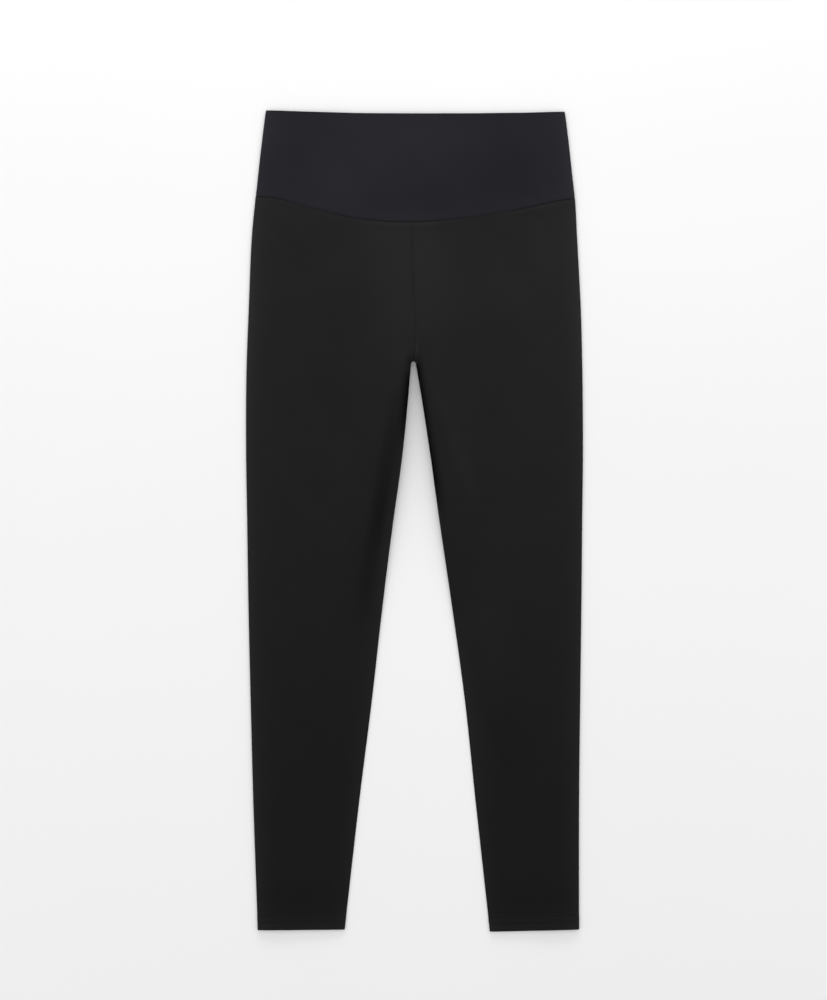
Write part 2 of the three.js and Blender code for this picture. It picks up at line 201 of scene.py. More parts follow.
# The hem: the step where the cloth is doubled, the grooves that the stitches pull, and the ripple
# of the cloth between them
HEM_STEP = 0.38
HEM_STEP_RUN = (HEM_DEPTH - 0.4, HEM_DEPTH + 0.8)
GROOVE_DEPTH = 0.34
GROOVE_HALF = 0.75
HEM_RIPPLE = {"height": 0.08, "tightness": 0.42, "above_hem": 11, "half": 12, "below": 0.3}

# Points of the cloth: across one layer of a leg and of the waistband, and at each rounded edge
LEG_COLUMNS = 67
BAND_COLUMNS = 115
EDGE_STEPS = 12
# Rows of points: how far apart, and the closer ones, by their distance from a seam, from an end
# that rounds off, from the waist and from the hem
ROW_STEP = 3.6
BESIDE_SEAM = [0, 0.3, 0.7, 1.2, 1.8, 2.6, 3.6, 5.0, 7.0, 9.4, 12.4]
ROUND_END = [0, 0.06, 0.2, 0.45, 0.95]
BELOW_WAIST = [1.8, 3.0, 5.0]
ROUND_HEM = [
    20, 18.8, 18.1, 17.5, 16.9, 16.4, 16.0, 15.6, 15.0, 13.6,
    12, 10.4, 9.0, 8.4, 8.0, 7.6, 6.8, 5.2, 3.4, 2.0,
]
# The even rows end this far from the crotch, from the waistband's seam and from the hem
CLEAR_OF_CROTCH = 12
CLEAR_OF_SEAM = 14
CLEAR_OF_HEM = 22

# Painted light and shade on the black, as a factor on its colour: the hips are 1, the rest adds to it
# or takes away
# Painted shade: darker from the hips down to the hems, as the light falls off away from the waist
LIGHT_AT_HEM = 0.62
LIGHT_RUN = (-460, 260)  # from the hems to the hips
# Painted highlight along the outer folds: how much on the legs and on the hips, where the hips are,
# and how wide
FOLD_HIGHLIGHT = {"leg": 0.66, "hip": 0.95, "hip_y": 225, "hip_half": 170, "width": 9}
# Painted light over the hips
HIP_LIGHT = {"adds": 0.1, "y": (130, 330)}
# Painted highlight on the rounded hem, and painted shade in a band just above it
HEM_HIGHLIGHT = {"adds": 0.25, "above_hem": (22, -2)}
ABOVE_HEM_SHADE = {"adds": -0.08, "above_hem": 36, "half": 26}
# Painted highlight on the low ridge beside the waist seam
SEAM_RIDGE_HIGHLIGHT = 0.3
CREASE_LIGHT_AND_SHADE = 0.055  # for each millimetre: painted light on the ridges of the creases, painted shade in their troughs
# A painted highlight along one side of the lower end of the centre seam
CROTCH_SEAM_HIGHLIGHT = {"adds": 0.7, "from_seam": 1.2, "half": 2.2, "y": 190, "half_length": 18}
# The edge at the inseam: how wide a strip of painted shade lies beside it, where that starts below
# the crotch and where it ends, and from where to where the edge gets a painted highlight like the
# outer fold
INSEAM = {
    RIGHT: {"shade_width": 17.5, "shade_from": (170, 154), "shade_to": (126, 70), "rim_light": (90, -40)},
    LEFT: {"shade_width": 16.0, "shade_from": (178, 166), "shade_to": (50, -5), "rim_light": (-60, -180)},
}
# Painted highlight along the inseam edge lower down: how much, and how wide
INSEAM_RIM_LIGHT = {"adds": 0.5, "width": 7}
# Broad patches painted lighter or darker, laying light and shade over the cloth: middle, half width,
# half height and what they add
LIGHT_AND_SHADE_PATCHES = [
    {"at": (-8, 432), "size": (90, 36), "painted_light": 0.22},
    {"at": (-78, 384), "size": (54, 44), "painted_light": 0.14},
    {"at": (104, 376), "size": (50, 46), "painted_light": -0.12},
    {"at": (4, 352), "size": (62, 22), "painted_light": -0.08},
    {"at": (-44, 318), "size": (44, 24), "painted_light": 0.12},
    {"at": (-2, 262), "size": (54, 118), "painted_light": 0.2},
    {"at": (-84, 238), "size": (46, 46), "painted_light": -0.06},
    {"at": (134, 220), "size": (72, 150), "painted_light": 0.12},
    {"at": (50, 70), "size": (26, 96), "painted_light": 0.1},
    {"at": (-54, -80), "size": (20, 70), "painted_light": -0.09},
    {"at": (82, -120), "size": (34, 90), "painted_light": 0.1},
    {"at": (108, -260), "size": (26, 66), "painted_light": -0.06},
    {"at": (96, 30), "size": (100, 330), "painted_light": 0.045},
    {"at": (-108, 342), "size": (76, 20), "painted_light": 0.07},
    {"at": (151, 308), "size": (34, 56), "painted_light": 0.12},
    {"at": (72, -230), "size": (22, 90), "painted_light": 0.05},
    {"at": (-16, 188), "size": (14, 26), "painted_light": 0.14},
    {"at": (-167, 386), "size": (16, 34), "painted_light": -0.16},
    {"at": (-40, 4), "size": (12, 34), "painted_light": -0.1},
]
PATCH_REACH = 1.25  # a patch has died away at this many times its half size
NEAR_SEAM = 2.2  # how far from a seam the cloth is a little darker

# The knit and its finish
WALE = 0.78  # from one column of loops to the next
COURSE = 0.62  # from one row of loops to the next
LOOP_SLANT = 0.9  # how far a loop climbs from the middle of its column to the edge, in rows
LOOP_DEPTH = 0.6  # how much of a column's height its loops take, the rest is even
LEG_BLACK = (0.0095, 0.0094, 0.0099)
# Bluer than the legs' black, and lighter: the extra lightness is painted light, the waist lying
# towards the light
BAND_BLACK = (0.0122, 0.0115, 0.0149)
# The plain deep black of the painted shade at the inner thighs
THIGH_SHADE_BLACK = (0.0015, 0.0015, 0.0016, 1.0)
LEG_SHEEN = 0.04
BAND_SHEEN = 0.05
SHEEN_TINT = (0.95, 0.93, 1.0, 1.0)
FUZZ = {"Scale": 1500.0, "Detail": 3.0, "Roughness": 0.6}
MOTTLE = {"Scale": 55.0, "Detail": 4.0, "Roughness": 0.55}
# The knit term paints the hollows between the loops darker, a painted shade; the other terms are
# uneven tone
DYE_AND_KNIT_SHADE = {"plain": 0.9, "mottle": 0.14, "fuzz": 0.1, "knit": 0.12, "sewn": 0.12}
ROUGH = {"plain": 0.78, "fuzz": 0.12, "knit": 0.05}
RELIEF = {"knit": 0.75, "fuzz": 0.4}

# Thread
STITCH_PITCH = 3.1
STITCH_LENGTH = 2.35
STITCH_STRAY = 0.12  # how far a stitch may lie from its place along the row
STITCH_ARCH = 0.2
STITCH_START = 0.12  # where on its arch a stitch comes out of the cloth, as an angle
STITCH_SUNK = 0.06
STITCH_POINTS = 6
THREAD_RADIUS = 0.21
THREAD_END = 0.62  # the share of the radius where a stitch goes into the cloth
THREAD_SIDES = 7
THREAD_BLACK = (0.0055, 0.0055, 0.006)
TWIST_PITCH = 0.42
TWIST_SLANT = 0.6

# Where it lies and how it is seen, in metres and watts. Every lamp is aimed at the origin.
SURFACE_WHITE = (0.9, 0.9, 0.9)
SURFACE_HALF = 12.0
SURFACE_Z = -0.0002
CAMERA_PLACE = (-0.0011, 0.0231, 3.0)
FRAME_LENGTH = 1.1
SENSOR_WIDTH = 36.0
SKY_STRENGTH = 0.79
LAMPS = {
    "top_light": {"place": (0.0, 2.4, 0.6), "size": (2.4, 0.6), "power": 40.0},
    "left_light": {"place": (-2.2, 0.0, 1.1), "size": (0.8, 2.0), "power": 5.0},
    "right_light": {"place": (2.2, 0.0, 1.1), "size": (0.8, 2.0), "power": 3.0},
    "overhead_light": {"place": (0.0, 0.0, 2.6), "size": (1.0, 1.0), "power": 2.0},
}


def curve(table, key, value):
    """A smooth curve through a table, as a function of one of its columns."""
    order = np.argsort(table[key])
    at = np.asarray(table[key], float)[order]
    height = np.asarray(table[value], float)[order]
    slope = np.diff(height) / np.diff(at)
    tangent = np.concatenate([slope[:1], (slope[:-1] + slope[1:]) / 2, slope[-1:]])

    def through(where):
        where = np.asarray(where, float)
        i = np.clip(np.searchsorted(at, where, side="right") - 1, 0, len(at) - 2)
        span = at[i + 1] - at[i]
        t = np.clip((where - at[i]) / span, 0, 1)
        u = 1 - t
        start = height[i] * (1 + 2 * t) * u * u + tangent[i] * span * t * u * u
        end = height[i + 1] * (1 + 2 * u) * t * t - tangent[i + 1] * span * u * t * t
        return start + end

    return through


waist_top = curve(WAIST_TOP, "x", "y")
waist_seam = {layer: curve(WAIST_SEAM[layer], "x", "y") for layer in WAIST_SEAM}
centre_seam = {layer: curve(CENTRE_SEAM[layer], "y", "x") for layer in CENTRE_SEAM}
outside = {side: curve(OUTSIDE[side], "y", "x") for side in OUTSIDE}
inside = {side: curve(INSIDE[side], "y", "x") for side in INSIDE}
ridge_run = curve(RIDGE_RUN, "y", "share")
waist_pull = curve(WAIST_PULL, "x", "share")


def lerp(a, b, share):
    return a + (b - a) * share


def smooth(value, low, high):
    """0 up to the low value, 1 from the high one on, with a soft rise between them."""
    t = np.clip((np.asarray(value, float) - low) / (high - low), 0, 1)
    return t * t * (3 - 2 * t)


def swell(distance, width):
    """1 at no distance, down to 0 at the width, with soft ends."""
    return np.clip(1 - (distance / width) ** 2, 0, 1) ** 2


def rounded(distance, width):
    """A quarter of an ellipse: 0 at the edge, 1 from the width on."""
    q = np.clip(distance / width, 0, 1)
    return np.sqrt(q * (2 - q))


def at_least(value, least):
    """The value, eased so that it never falls below the least one."""
    over = value - least
    return least + (over + np.sqrt(over**2 + SOFT_TOUCH)) / 2


def sway(along, seed):
    """An uneven wave between about -1 and 1, the same on every run."""
    return (
        0.5 * np.sin(along / 1.07 + 1.3 * seed)
        + 0.3 * np.sin(along / 1.71 + 2.1 * seed + 0.7)
        + 0.3 * np.sin(along / 2.93 + 0.6 * seed + 2.2)
    )


def distance_to_line(x, y, line):
    """Distance of each point to a line of straight pieces, and its share of the way along."""
    best = np.full(np.shape(x), np.inf)
    share = np.zeros(np.shape(x))
    lengths = [math.dist(a, b) for a, b in zip(line[:-1], line[1:])]
    done = 0.0
    for (a, b), length in zip(zip(line[:-1], line[1:]), lengths):
        run_x = b[0] - a[0]
        run_y = b[1] - a[1]
        t = np.clip(((x - a[0]) * run_x + (y - a[1]) * run_y) / length**2, 0, 1)
        distance = np.hypot(x - a[0] - t * run_x, y - a[1] - t * run_y)
        nearer = distance < best
        best = np.where(nearer, distance, best)
        share = np.where(nearer, (done + t * length) / sum(lengths), share)
        done += length
    return best, share


def bend(points, pieces=8):
    """A soft curve through three points, as a line of short pieces."""
    first, middle, last = (np.asarray(p, float) for p in points)
    pull = 2 * middle - (first + last) / 2
    steps = np.linspace(0, 1, pieces + 1)
    return [tuple((1 - t) ** 2 * first + 2 * t * (1 - t) * pull + t**2 * last) for t in steps]


def crease_height(x, y, creases):
    """How far the creases lift or lower the cloth. Each one dies away towards its ends."""
    height = np.zeros(np.shape(x))
    for crease in creases:
        distance, share = distance_to_line(x, y, bend(crease["through"]))
        taper = np.sin(np.pi * np.clip(share, 0.0, 1.0)) ** 0.8
        height += crease["height"] * swell(distance, crease["width"]) * taper
    return height


def slack(x, y, to_fold):
    """How much higher or lower the upper layer lies where the cloth is loose, also across seams."""
    waves = sway((x + SLACK["slants"][0] * y) / SLACK["lengths"][0], 1)
    waves = waves + sway((y - SLACK["slants"][1] * x) / SLACK["lengths"][1], 5)
    return SLACK["height"] * smooth(to_fold, *SLACK_FROM_FOLD) * waves


def inner_edge(side, y, layer):
    """The inner edge of a leg: centre seam, round top of the gap between the legs, then inseam."""
    below = CROTCH_Y - np.asarray(y, float)
    half = np.sqrt(np.clip(CROTCH_RADIUS**2 - (CROTCH_RADIUS - below) ** 2, 0, None))
    arc = CROTCH_X + side * np.maximum(half, SEAM_GAP / 2)
    seam = centre_seam[layer](y) + side * SEAM_GAP / 2
    return np.where(below <= 0, seam, np.where(below < CROTCH_RADIUS, arc, side * inside[side](y)))


def hem_y(side, x):
    """The hem line of a leg, which is a little askew."""
    inner = INSIDE[side]["x"][-1]
    outer = OUTSIDE[side]["x"][-1]
    share = np.clip((np.abs(x) - inner) / (outer - inner), 0, 1)
    return lerp(HEM_AT_INSEAM[side], HEM_AT_FOLD[side], share)


def inseam_line(side):
    """The inseam from the crotch to past the hem, as a line of short pieces."""
    near = CROTCH_Y - CROTCH_RADIUS * (1 - np.cos(np.linspace(0, np.pi / 2, 7)))
    far = np.arange(near[-1] - 4, BELOW_HEMS, -6)
    y = np.concatenate([near, far])
    return list(zip(inner_edge(side, y, "front"), y))


def ridge_share(to_inseam, y):
    """The low ridge along the inner thighs, where the fuller seat lifts both layers off the floor."""
    at_edge = lerp(RIDGE["at_edge"], 1.0, smooth(y, CROTCH_Y, CROTCH_Y + RIDGE_WHOLE))
    climb = lerp(at_edge, 1.0, rounded(to_inseam, RIDGE["crest"]))
    width = lerp(RIDGE["beside"], RIDGE["above"], smooth(y, *RIDGE_WIDENS))
    fall = swell(np.clip(to_inseam - RIDGE["crest"], 0, None), width - RIDGE["crest"])
    return climb * fall * ridge_run(y)


def across(width, columns):
    """Places from one edge of a layer to the other, close together at both."""
    near = SOFT_EDGE * (1 - np.cos(np.linspace(0, np.pi / 2, EDGE_STEPS + 1)))
    flat = np.linspace(SOFT_EDGE, width - SOFT_EDGE, columns - 2 * EDGE_STEPS)
    return np.concatenate([near[:-1], flat, (width - near[::-1])[1:]])


def leg_rows(side):
    """The rows of a leg, each as its part, the body or the leg, and its share of that part's length.
    For the rows of the leg, their heights above the hem too."""
    body = float(waist_seam["front"](CROTCH_X)) - CROTCH_Y
    length = CROTCH_Y - HEM_AT_INSEAM[side]
    first = BESIDE_SEAM[-1] + ROW_STEP
    above = BESIDE_SEAM + list(np.arange(first, body - CLEAR_OF_CROTCH, ROW_STEP))
    above += [body - d for d in reversed(BESIDE_SEAM) if d < CLEAR_OF_CROTCH]
    below = BESIDE_SEAM[1:] + list(np.arange(first, length - CLEAR_OF_HEM, ROW_STEP))
    below += [length - d for d in ROUND_HEM + ROUND_END[::-1]]
    shares = [d / length for d in below]
    rows = [("body", d / body) for d in above] + [("leg", share) for share in shares]
    return rows, [round(length - share * length, 3) for share in shares]


def row_y(side, row, x, layer):
    """The line that a row of a leg follows."""
    part, share = row
    if part == "leg":
        return lerp(CROTCH_Y, hem_y(side, x), share)
    return lerp(waist_seam[layer](x) - SEAM_GAP / 2, CROTCH_Y, share)


def leg_outline(side, rows, layer):
    """Where the points of one layer of a leg lie, seen from above."""
    grid = []
    for row in rows:
        start_x = CROTCH_X
        for _ in range(2):
            start_y = float(row_y(side, row, start_x, layer))
            start_x = float(inner_edge(side, start_y, layer))
        fold_x = side * float(outside[side](start_y))
        for _ in range(2):
            fold_x = side * float(outside[side](row_y(side, row, fold_x, layer)))
        x = start_x + side * across(abs(fold_x - start_x), LEG_COLUMNS)
        y = row_y(side, row, x, layer)
        y[0] = start_y
        grid.append([x, y])
    return np.array(grid).transpose(1, 0, 2)


def leg_layer(side, rows, layer, line):
    """The points of one layer of a leg, before its seams and hem are worked."""
    x, y = leg_outline(side, rows, layer)
    to_inseam, _ = distance_to_line(x, y, line)
    to_inseam[:, 0] = np.where(y[:, 0] <= CROTCH_Y, 0, to_inseam[:, 0])
    to_fold = np.abs(side * outside[side](y) - x)
    to_fold[:, -1] = 0
    lift = ridge_share(to_inseam, y)
    crown = CROWN * rounded(to_fold, CROWN_FROM_FOLD) * smooth(to_inseam, *CROWN_FROM_INSEAM)
    settle = smooth(y, hem_y(side, x), hem_y(side, x) + CROWN_ABOVE_HEM)
    top = LEG_LOFT + crown * lerp(CROWN_AT_HEM, 1, settle) + RIDGE["up"] * lift
    top = top + slack(x, y, to_fold) * smooth(to_inseam, *SLACK_FROM_INSEAM)
    top = top + crease_height(x, y, FRONT_CREASES)
    hollows = crease_height(x, y, BACK_CREASES) * smooth(to_inseam, *BACK_CREASES_FROM_EDGE)
    under = RIDGE["under"] * lift + hollows * smooth(to_fold, *BACK_CREASES_FROM_EDGE)
    top = under + at_least(top - under, CLOSEST)
    middle = (top + under) / 2
    half = (top - under) / 2
    if layer == "front":
        edge = lerp(INSEAM_EDGE, FLOOR_EDGE, smooth(y, *EDGE_FIRMS))
        z = middle + half * rounded(to_inseam, edge) * rounded(to_fold, SOFT_EDGE)
    else:
        z = middle - half * rounded(to_inseam, FLOOR_EDGE) * rounded(to_fold, FLOOR_EDGE)
    return np.dstack([x, y, z])


def band_y(layer, share, x):
    """The line that lies a share of the way down the waistband, from its top to its seam."""
    return lerp(waist_top(x), waist_seam[layer](x) + SEAM_GAP / 2, share)


def band_outline(layer):
    """Where the points of one layer of the waistband lie, seen from above."""
    depth = float(waist_top(0) - waist_seam[layer](0))
    rows = ROUND_END + BELOW_WAIST
    rows += list(np.arange(BELOW_WAIST[-1] + ROW_STEP, depth - CLEAR_OF_SEAM, ROW_STEP))
    rows += [depth - d for d in reversed(BESIDE_SEAM)]
    about = float(outside[RIGHT](MID_BAND_Y))
    grid = []
    for share in np.array(rows) / depth:
        low = -about
        high = about
        for _ in range(3):
            low = -float(outside[RIGHT](band_y(layer, share, low)))
            high = float(outside[LEFT](band_y(layer, share, high)))
        x = low + across(high - low, BAND_COLUMNS)
        grid.append([x, band_y(layer, share, x)])
    return np.array(grid).transpose(1, 0, 2)


def band_layer(layer):
    """The points of one layer of the waistband, before its seam and its top are worked."""
    x, y = band_outline(layer)
    to_fold = np.minimum(x - x[:, :1], x[:, -1:] - x)
    crown = BAND_CROWN * rounded(to_fold, CROWN_FROM_FOLD)
    top = BAND_LOFT + crown + slack(x, y, to_fold) + crease_height(x, y, FRONT_CREASES)
    under = crease_height(x, y, BACK_CREASES) * smooth(to_fold, *BACK_CREASES_FROM_EDGE)
    middle = (top + under) / 2
    half = (top - under) / 2
    if layer == "front":
        z = middle + half * rounded(to_fold, SOFT_EDGE) + SEAM_GAP / 2
    else:
        z = middle - half * rounded(to_fold, FLOOR_EDGE)
    return np.dstack([x, y, z])


def outward(grid, flip):
    """The direction out of the cloth at each point of a grid."""
    normal = np.cross(np.gradient(grid, axis=0), np.gradient(grid, axis=1)) * (-1 if flip else 1)
    return normal / np.linalg.norm(normal, axis=2, keepdims=True)


def on_top(normal):
    """1 on the upper layer, 0 on the one below, and between them where the cloth turns at a fold."""
    return smooth(normal[..., 2], *LAYER_TURN)


def run_along(grid, axis):
    """How far each point is from the first one, along the cloth."""
    steps = np.linalg.norm(np.diff(grid, axis=axis), axis=2)
    start = np.zeros_like(np.take(steps, [0], axis=axis))
    return np.concatenate([start, np.cumsum(steps, axis=axis)], axis=axis)


def lip(distance):
    """How far a sewn edge turns in, at a distance from the seam."""
    return LIP_DEPTH * (1 - rounded(distance, LIP_WIDTH))


def uneven(along, seed):
    """A share up to 1 that comes and goes along a seam, which never lies quite the same."""
    pull = smooth(sway(along * UNEVEN["tightness"], seed), UNEVEN["from"], UNEVEN["to"])
    return lerp(UNEVEN["least"], 1.0, pull)


def puckers(distance, along, seed):
    """The small uneven waves that sewing leaves beside a seam."""
    wave = PUCKER * sway(along, seed) * np.exp(-distance / PUCKER_REACH)
    return wave * smooth(distance, 0, PUCKER_START)


def ridge_beside(to_seam, ridge):
    """1 along the low ridge that the edges inside a seam make, down to 0 on either side."""
    return swell(to_seam - ridge["from_seam"], ridge["half"])


def both_faces(grid, normal, work, wall, end_round):
    """The outer and the inner face of the cloth, which close up where its end rounds off."""
    work = work - wall / 2 * (1 - end_round)
    outer = grid + normal * work[..., None]
    outer[..., 2] = np.maximum(outer[..., 2], 0)
    inner = outer - normal * (wall * np.maximum(end_round, RIM))[..., None]
    inner[..., 2] = np.maximum(inner[..., 2], OFF_FLOOR)
    return outer, inner


def add_piece(name, points, faces, cloth_map, coat):
    """A mesh piece with its finish, and the map that its knit or its twist follows."""
    mesh = bpy.data.meshes.new(name)
    mesh.from_pydata((points * MM).tolist(), [], faces)
    mesh.shade_smooth()
    layer = mesh.uv_layers.new(name="cloth")
    corners = np.empty(len(mesh.loops), dtype=np.int32)
    mesh.loops.foreach_get("vertex_index", corners)
    layer.data.foreach_set("uv", (cloth_map[corners] * MM).ravel())
    mesh.materials.append(coat)
    piece = bpy.data.objects.new(name, mesh)
    bpy.context.scene.collection.objects.link(piece)
    return piece


def shell_faces(rows, columns, flip):
    """The faces of a closed shell: its outer side, its inner side, and the rim between them."""
    index = np.arange(rows * columns).reshape(rows, columns)
    a, b, c, d = index[:-1, :-1], index[1:, :-1], index[1:, 1:], index[:-1, 1:]
    face = np.stack([a, b, c, d], axis=-1).reshape(-1, 4)
    loop = np.concatenate([index[0, :-1], index[:-1, -1], index[-1, :0:-1], index[:0:-1, 0]])
    after = np.roll(loop, -1)
    rim = np.stack([loop, after, after + index.size, loop + index.size], axis=-1)
    if flip:
        face = face[:, ::-1]
        rim = rim[:, ::-1]
    back = face[:, ::-1] + index.size
    return np.concatenate([face, back, rim])


def cloth_shell(name, outer, inner, coat, across_mm, along_mm, states, flip):
    """A closed thin shell from the points of its outer and inner faces, with the cloth's own
    directions as its map, and values per point, such as its painted light and shade, as attributes."""
    points = np.concatenate([outer.reshape(-1, 3), inner.reshape(-1, 3)])
    one_face = np.stack([across_mm, along_mm], axis=-1).reshape(-1, 2)
    cloth_map = np.concatenate([one_face, one_face])
    rows, columns = outer.shape[:2]
    faces = shell_faces(rows, columns, flip).tolist()
    piece = add_piece(name, points, faces, cloth_map, coat)
    for state, values in states.items():
        held = piece.data.attributes.new(state, "FLOAT", "POINT")
        held.data.foreach_set("value", np.tile(values.ravel(), 2).astype(np.float32))
    return piece


def painted_light_of(x, y, to_fold):
    """Painted light and shade on the black: lighter towards the hips and along the folds, lighter and
    darker over the creases and the patches.
    """
    painted_light = lerp(LIGHT_AT_HEM, 1.0, smooth(y, *LIGHT_RUN))
    at_hip = swell(y - FOLD_HIGHLIGHT["hip_y"], FOLD_HIGHLIGHT["hip_half"])
    painted_light += lerp(FOLD_HIGHLIGHT["leg"], FOLD_HIGHLIGHT["hip"], at_hip) * np.exp(-to_fold / FOLD_HIGHLIGHT["width"])
    painted_light += CREASE_LIGHT_AND_SHADE * crease_height(x, y, FRONT_CREASES)
    for patch in LIGHT_AND_SHADE_PATCHES:
        away_x = (x - patch["at"][0]) / patch["size"][0]
        away_y = (y - patch["at"][1]) / patch["size"][1]
        painted_light += patch["painted_light"] * swell(np.hypot(away_x, away_y), PATCH_REACH)
    return painted_light


def leg_painted_light(side, x, y, to_fold, to_edge, above_hem, seam_ridge):
    """The same for a leg, with the painted light and shade that its hem, its hip, its inseam and its
    seams add.
    """
    painted_light = painted_light_of(x, y, to_fold) + HEM_HIGHLIGHT["adds"] * smooth(above_hem, *HEM_HIGHLIGHT["above_hem"])
    painted_light += HIP_LIGHT["adds"] * smooth(y, *HIP_LIGHT["y"])
    near_hem = swell(above_hem - ABOVE_HEM_SHADE["above_hem"], ABOVE_HEM_SHADE["half"])
    painted_light += ABOVE_HEM_SHADE["adds"] * near_hem
    at_edge = INSEAM_RIM_LIGHT["adds"] * np.exp(-to_edge / INSEAM_RIM_LIGHT["width"])
    painted_light += at_edge * smooth(y, *INSEAM[side]["rim_light"])
    painted_light += SEAM_RIDGE_HIGHLIGHT * seam_ridge
    if side == LEFT:
        beside = CROTCH_SEAM_HIGHLIGHT["adds"] * swell(to_edge - CROTCH_SEAM_HIGHLIGHT["from_seam"], CROTCH_SEAM_HIGHLIGHT["half"])
        painted_light += beside * swell(y - CROTCH_SEAM_HIGHLIGHT["y"], CROTCH_SEAM_HIGHLIGHT["half_length"])
    return painted_light


def thigh_shade_share(side, y, to_edge):
    """1 in a strip of painted shade beside the inseam, below the crotch, 0 elsewhere."""
    inseam = INSEAM[side]
    strip = swell(to_edge, inseam["shade_width"]) * smooth(y, *inseam["shade_from"])
    return strip * (1 - smooth(y, *inseam["shade_to"]))


def nearness(to_one, to_other):
    """1 at either of two seams, less and less away from them."""
    return np.maximum(np.exp(-to_one / NEAR_SEAM), np.exp(-to_other / NEAR_SEAM))


def leg(side, name, coat, thread_coat):
    """One leg panel with its hem, and the two rows of thread that hold the hem up."""
    rows, from_hem = leg_rows(side)
    line = inseam_line(side)
    front = leg_layer(side, rows, "front", line)
    back = leg_layer(side, rows, "back", line)
    grid = np.concatenate([front, back[:, -2::-1]], axis=1)
    x, y = grid[..., 0], grid[..., 1]
    flip = side == RIGHT
    normal = outward(grid, flip)
    upper = on_top(normal)
    from_start = run_along(grid, 1)
    to_edge = np.minimum(from_start, from_start[:, -1:] - from_start)
    to_fold = np.abs(from_start - from_start[:, LEG_COLUMNS - 1 : LEG_COLUMNS])
    from_waist = run_along(grid, 0)
    above_hem = y - hem_y(side, x)

    above_crotch = smooth(y, *CENTRE_LIP_RUN)
    work = -lip(to_edge) * lerp(1.0, CENTRE_LIP * uneven(y, 3), above_crotch)
    work -= lip(from_waist) * waist_pull(x)
    work += puckers(to_edge, y, 1 + side) + puckers(from_waist, x, 3 + side)
    seam_ridge = ridge_beside(from_waist, LEG_SEAM_RIDGE) * waist_pull(x)
    work += LEG_SEAM_RIDGE["height"] * upper * seam_ridge
    doubled = 1 - smooth(above_hem, *HEM_STEP_RUN)
    work += HEM_STEP * upper * doubled
    for row_height in HEM_ROWS:
        work -= GROOVE_DEPTH * np.exp(-(((above_hem - row_height) / GROOVE_HALF) ** 2))
    ripple = HEM_RIPPLE["height"] * sway(from_start * HEM_RIPPLE["tightness"], 5 + side)
    ripple *= swell(above_hem - HEM_RIPPLE["above_hem"], HEM_RIPPLE["half"])
    work += ripple * lerp(HEM_RIPPLE["below"], 1, upper)
    wall = lerp(ONE_PLY, TWO_PLIES, doubled)
    end_round = rounded(np.clip(above_hem, 0, None), ROUND_END[-1])
    outer, inner = both_faces(grid, normal, work, wall, end_round)

    states = {
        "near_seam": nearness(to_edge, from_waist),
        "painted_light": leg_painted_light(side, x, y, to_fold, to_edge, above_hem, seam_ridge),
        "thigh_shade": thigh_shade_share(side, y, to_edge),
    }
    piece = cloth_shell(name, outer, inner, coat, from_start, CROTCH_Y - y, states, flip)
    threads = hem_thread(name + "_hem_thread", outer, normal, from_hem, thread_coat)
    return piece, threads


def hem_thread(name, outer, normal, from_hem, coat):
    """Two rows of short straight stitches round a hem, each a little arched bar of thread."""
    first_leg_row = len(outer) - len(from_hem)
    turn = np.linspace(STITCH_START, np.pi - STITCH_START, STITCH_POINTS)
    arch = STITCH_ARCH * np.sin(turn) - STITCH_SUNK
    bars = []
    for row_height in HEM_ROWS:
        row = first_leg_row + int(np.argmin(np.abs(np.array(from_hem) - row_height)))
        path = outer[row]
        away = normal[row]
        run = np.concatenate([[0], np.cumsum(np.linalg.norm(np.diff(path, axis=0), axis=1))])
        count = int((run[-1] - 2 * STITCH_PITCH) / STITCH_PITCH)
        for k in range(count):
            middle = STITCH_PITCH * (k + 1) + STITCH_STRAY * math.sin(k * 2.4 + row_height)
            at = middle + STITCH_LENGTH * np.linspace(-0.5, 0.5, STITCH_POINTS)
            points = np.stack([np.interp(at, run, path[:, i]) for i in range(3)], axis=1)
            lift = np.stack([np.interp(at, run, away[:, i]) for i in range(3)], axis=1)
            points = points + lift * arch[:, None]
            points[:, 2] = np.maximum(points[:, 2], THREAD_RADIUS)
            bars.append((points, lift))
    return thread_bars(name, bars, coat)


def thread_bars(name, bars, coat):
    """Joins short bars of thread into one mesh. The map runs along each bar, for its twist."""
    sides = THREAD_SIDES
    verts, faces, cloth_map = [], [], []
    for points, lift in bars:
        base = len(verts)
        along = np.gradient(points, axis=0)
        along /= np.linalg.norm(along, axis=1, keepdims=True)
        beside = np.cross(along, lift)
        beside /= np.linalg.norm(beside, axis=1, keepdims=True)
        up = np.cross(beside, along)
        last = len(points) - 1
        for i, point in enumerate(points):
            radius = THREAD_RADIUS * (THREAD_END if i in (0, last) else 1.0)
            for k in range(sides):
                angle = 2 * math.pi * k / sides
                verts.append(point + radius * (math.cos(angle) * beside[i] + math.sin(angle) * up[i]))
                cloth_map.append((STITCH_LENGTH * i / last, 2 * math.pi * THREAD_RADIUS * k / sides))
        for i in range(last):
            for k in range(sides):
                a = base + i * sides + k
                b = base + i * sides + (k + 1) % sides
                faces.append((a, b, b + sides, a + sides))
        faces.append(tuple(base + k for k in reversed(range(sides))))
        faces.append(tuple(base + last * sides + k for k in range(sides)))
    return add_piece(name, np.array(verts), faces, np.array(cloth_map), coat)


